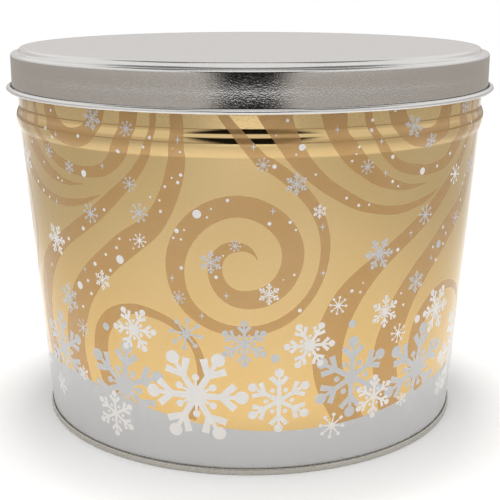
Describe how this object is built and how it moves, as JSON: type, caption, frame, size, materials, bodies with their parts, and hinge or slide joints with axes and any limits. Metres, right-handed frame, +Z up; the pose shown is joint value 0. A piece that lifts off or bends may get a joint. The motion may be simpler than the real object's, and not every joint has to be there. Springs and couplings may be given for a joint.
{
  "type": "cookie tin",
  "caption": "Round tapered sheet-metal tin with a rolled rim, nesting bead and seamed base, closed by a slip-on lid with a raised top panel.",
  "frame": {"origin": "centre of the base, on the floor that the tin stands on", "axes": "+Z up along the tin's axis, -Y towards the front of the printed design, side seam at +X"},
  "size_m": [0.2508, 0.2508, 0.1913],
  "materials": {
    "bare_tinplate": "satin tinplate with a fine grain",
    "printed_tinplate": "satin transparent gold over tinplate, printed with darker gold swirls, silver and white snowflakes and a silver snow bank",
    "base_tinplate": "bare satin tinplate"
  },
  "bodies": {
    "tin": {"body_shell": "printed_tinplate", "bottom_end": "base_tinplate"},
    "lid": {"lid": "bare_tinplate"}
  },
  "joints": [
    {"name": "lid_lift", "type": "slide", "parent": "tin", "child": "lid", "axis": [0, 0, 1], "range_m": [0, 0.06]}
  ]
}
